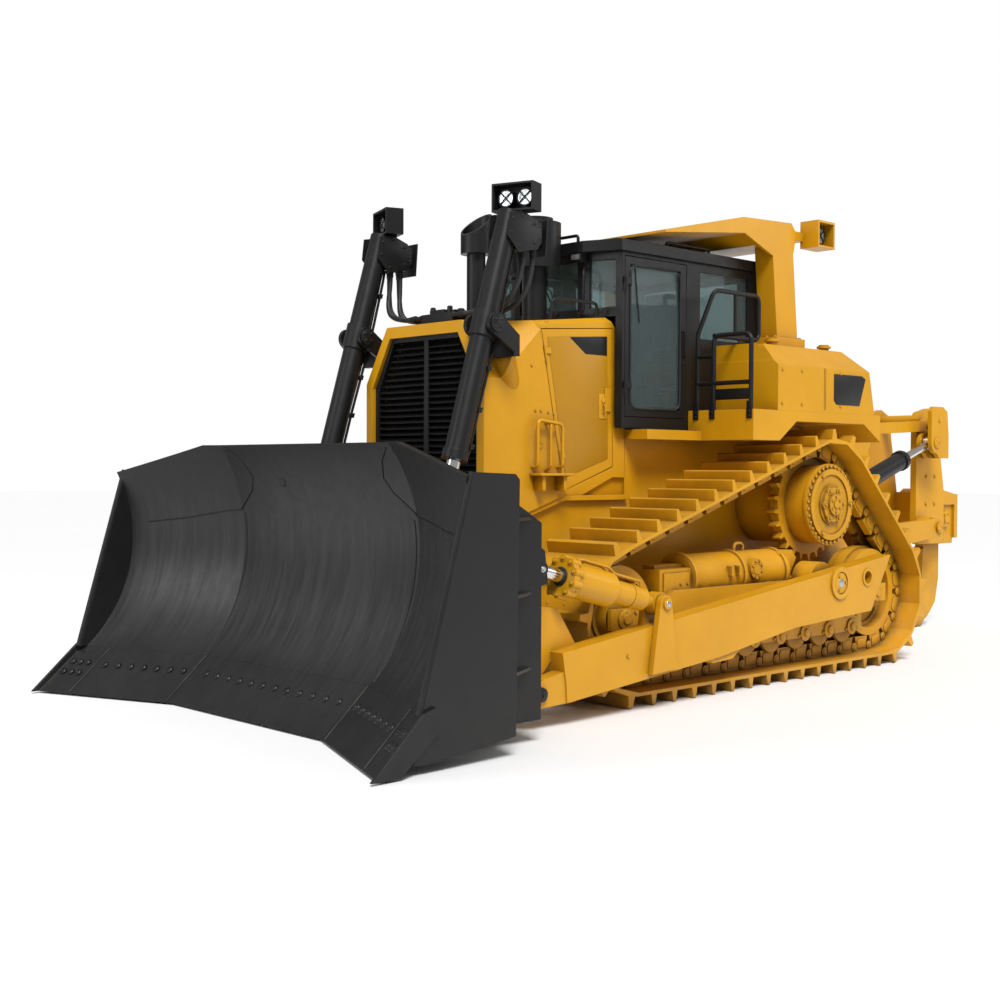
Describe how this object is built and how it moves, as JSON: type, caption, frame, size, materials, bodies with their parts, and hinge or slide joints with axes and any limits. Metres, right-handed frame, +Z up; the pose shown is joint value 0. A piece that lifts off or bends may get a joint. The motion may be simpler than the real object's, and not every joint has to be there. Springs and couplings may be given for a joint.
{
  "type": "bulldozer",
  "caption": "Track-type bulldozer with a semi-U blade, raised drive sprockets, a closed cab under a roll-over frame, lift cylinders, hinged engine doors and a rear ripper with one shank.",
  "frame": {"origin": "middle of the length and width, on the ground under the tracks", "axes": "+X is forward, towards the blade; +Y is the machine's left; +Z is up"},
  "size_m": [10, 4.31, 3.99],
  "materials": {
    "main_frame": "satin machine paint",
    "engine_block": "painted casting",
    "radiator_guard": "satin machine paint",
    "grille": "satin dark paint",
    "hood": "satin machine paint",
    "engine_door_left": "satin machine paint",
    "engine_door_right": "satin machine paint",
    "exhaust_stack": "heat-proof matte paint",
    "precleaner": "satin dark paint",
    "cab_frame": "satin dark paint",
    "cab_roof": "satin dark paint",
    "cab_windows": "tinted clear",
    "operator_seat": "woven cloth on foam",
    "cab_door_left": "satin dark paint",
    "cab_door_right": "satin dark paint",
    "door_glass_left": "tinted clear",
    "door_glass_right": "tinted clear",
    "rops": "satin machine paint",
    "fuel_tank": "satin machine paint",
    "fenders": "satin machine paint",
    "side_tanks": "satin machine paint",
    "handrails": "satin dark paint",
    "track_left": "machine paint on forged steel",
    "track_right": "machine paint on forged steel",
    "roller_frames": "satin machine paint",
    "idlers": "satin machine paint",
    "track_rollers": "machine paint on castings",
    "sprockets": "machine paint on castings",
    "final_drives": "satin machine paint",
    "push_arms": "satin machine paint",
    "moldboard": "dark paint scoured on the face",
    "cutting_edges": "dark paint on hard steel",
    "blade_back": "satin dark paint",
    "lift_yokes": "satin dark paint",
    "lift_barrels": "satin dark paint",
    "lift_rods": "polished",
    "tilt_barrels": "satin machine paint",
    "tilt_rods": "polished",
    "ripper_bracket": "satin machine paint",
    "ripper_frame": "satin machine paint",
    "ripper_carriage": "satin machine paint",
    "ripper_shank": "machine paint on hard steel",
    "ripper_links": "satin machine paint",
    "ripper_barrels": "satin dark paint",
    "ripper_rods": "polished"
  },
  "bodies": {
    "tractor": {"main_frame": "main_frame", "engine_block": "engine_block", "radiator_guard": "radiator_guard", "grille": "grille", "hood": "hood", "exhaust_stack": "exhaust_stack", "precleaner": "precleaner", "cab_frame": "cab_frame", "cab_roof": "cab_roof", "cab_windows": "cab_windows", "operator_seat": "operator_seat", "rops": "rops", "fuel_tank": "fuel_tank", "fenders": "fenders", "side_tanks": "side_tanks", "handrails": "handrails", "track_left": "track_left", "track_right": "track_right", "roller_frames": "roller_frames", "idlers": "idlers", "track_rollers": "track_rollers", "sprockets": "sprockets", "final_drives": "final_drives", "lift_yokes": "lift_yokes", "ripper_bracket": "ripper_bracket"},
    "push_arms_body": {"push_arms": "push_arms"},
    "blade": {"moldboard": "moldboard", "cutting_edges": "cutting_edges", "blade_back": "blade_back"},
    "lift_barrel_body": {"lift_barrels": "lift_barrels"},
    "lift_rod_body": {"lift_rods": "lift_rods"},
    "tilt_barrel_body": {"tilt_barrels": "tilt_barrels"},
    "tilt_rod_body": {"tilt_rods": "tilt_rods"},
    "ripper_beam": {"ripper_frame": "ripper_frame"},
    "ripper_head": {"ripper_carriage": "ripper_carriage", "ripper_shank": "ripper_shank"},
    "ripper_link_body": {"ripper_links": "ripper_links"},
    "ripper_barrel_body": {"ripper_barrels": "ripper_barrels"},
    "ripper_rod_body": {"ripper_rods": "ripper_rods"},
    "cab_door_left_body": {"cab_door_left": "cab_door_left", "door_glass_left": "door_glass_left"},
    "cab_door_right_body": {"cab_door_right": "cab_door_right", "door_glass_right": "door_glass_right"},
    "engine_door_left_body": {"engine_door_left": "engine_door_left"},
    "engine_door_right_body": {"engine_door_right": "engine_door_right"}
  },
  "joints": [
    {"name": "blade_lift", "type": "hinge", "parent": "tractor", "child": "push_arms_body", "pos_m": [-0.4, 0, 0.811], "axis": [0, -1, 0], "range_deg": [-7.2, 16.9]},
    {"name": "blade_pitch", "type": "hinge", "parent": "push_arms_body", "child": "blade", "pos_m": [3.171, 0, 0.25], "axis": [0, -1, 0], "range_deg": [-5, 5]},
    {"name": "lift_barrel_swing", "type": "hinge", "parent": "tractor", "child": "lift_barrel_body", "pos_m": [2.885, 0, 2.815], "axis": [0, -1, 0], "range_deg": [-4.62, 10.46]},
    {"name": "lift_rod_slide", "type": "slide", "parent": "lift_barrel_body", "child": "lift_rod_body", "axis": [0.2804, 0, -0.9599], "range_m": [-1.14168, 0.50457]},
    {"name": "tilt_barrel_swing", "type": "hinge", "parent": "push_arms_body", "child": "tilt_barrel_body", "pos_m": [1.933, 0, 0.784], "axis": [0, -1, 0], "range_deg": [-0.98, 0.98]},
    {"name": "tilt_rod_slide", "type": "slide", "parent": "tilt_barrel_body", "child": "tilt_rod_body", "axis": [0.9712, 0, 0.2384], "range_m": [-0.07382, 0.07382]},
    {"name": "ripper_lift", "type": "hinge", "parent": "tractor", "child": "ripper_beam", "pos_m": [-2.49, 0, 1.08], "axis": [0, 1, 0], "range_deg": [-38, 30]},
    {"name": "ripper_head_turn", "type": "hinge", "parent": "ripper_beam", "child": "ripper_head", "pos_m": [-4, 0, 1.15], "axis": [0, -1, 0], "range_deg": [-38.68, 30.68]},
    {"name": "ripper_link_swing", "type": "hinge", "parent": "tractor", "child": "ripper_link_body", "pos_m": [-2.49, 0, 2.18], "axis": [0, 1, 0], "range_deg": [-38.68, 30.68]},
    {"name": "ripper_barrel_swing", "type": "hinge", "parent": "tractor", "child": "ripper_barrel_body", "pos_m": [-2.45, 0, 1.6], "axis": [0, 1, 0], "range_deg": [-40.32, 32.13]},
    {"name": "ripper_rod_slide", "type": "slide", "parent": "ripper_barrel_body", "child": "ripper_rod_body", "axis": [-0.95, 0, 0.3122], "range_m": [-0.26792, 0.21346]},
    {"name": "cab_door_left_swing", "type": "hinge", "parent": "tractor", "child": "cab_door_left_body", "pos_m": [1.349, 0.767, 2.84], "axis": [0, 0, -1], "range_deg": [0, 90]},
    {"name": "cab_door_right_swing", "type": "hinge", "parent": "tractor", "child": "cab_door_right_body", "pos_m": [1.349, -0.767, 2.84], "axis": [0, 0, 1], "range_deg": [0, 90]},
    {"name": "engine_door_left_swing", "type": "hinge", "parent": "tractor", "child": "engine_door_left_body", "pos_m": [1.943, 0.667, 1.6], "axis": [-0.2014, 0, -0.9795], "range_deg": [0, 90]},
    {"name": "engine_door_right_swing", "type": "hinge", "parent": "tractor", "child": "engine_door_right_body", "pos_m": [1.943, -0.667, 1.6], "axis": [0.2014, 0, 0.9795], "range_deg": [0, 90]}
  ],
  "couplings": [
    {"joint": "lift_barrel_swing", "follows": "blade_lift", "ratio": 0.6019},
    {"joint": "lift_rod_slide", "follows": "blade_lift", "m_per_rad": -3.7633},
    {"joint": "tilt_barrel_swing", "follows": "blade_pitch", "ratio": 0.1882},
    {"joint": "tilt_rod_slide", "follows": "blade_pitch", "m_per_rad": -0.8134},
    {"joint": "ripper_head_turn", "follows": "ripper_lift", "ratio": 1},
    {"joint": "ripper_link_swing", "follows": "ripper_lift", "ratio": 1},
    {"joint": "ripper_barrel_swing", "follows": "ripper_lift", "ratio": 1.0244},
    {"joint": "ripper_rod_slide", "follows": "ripper_lift", "m_per_rad": 0.39}
  ]
}
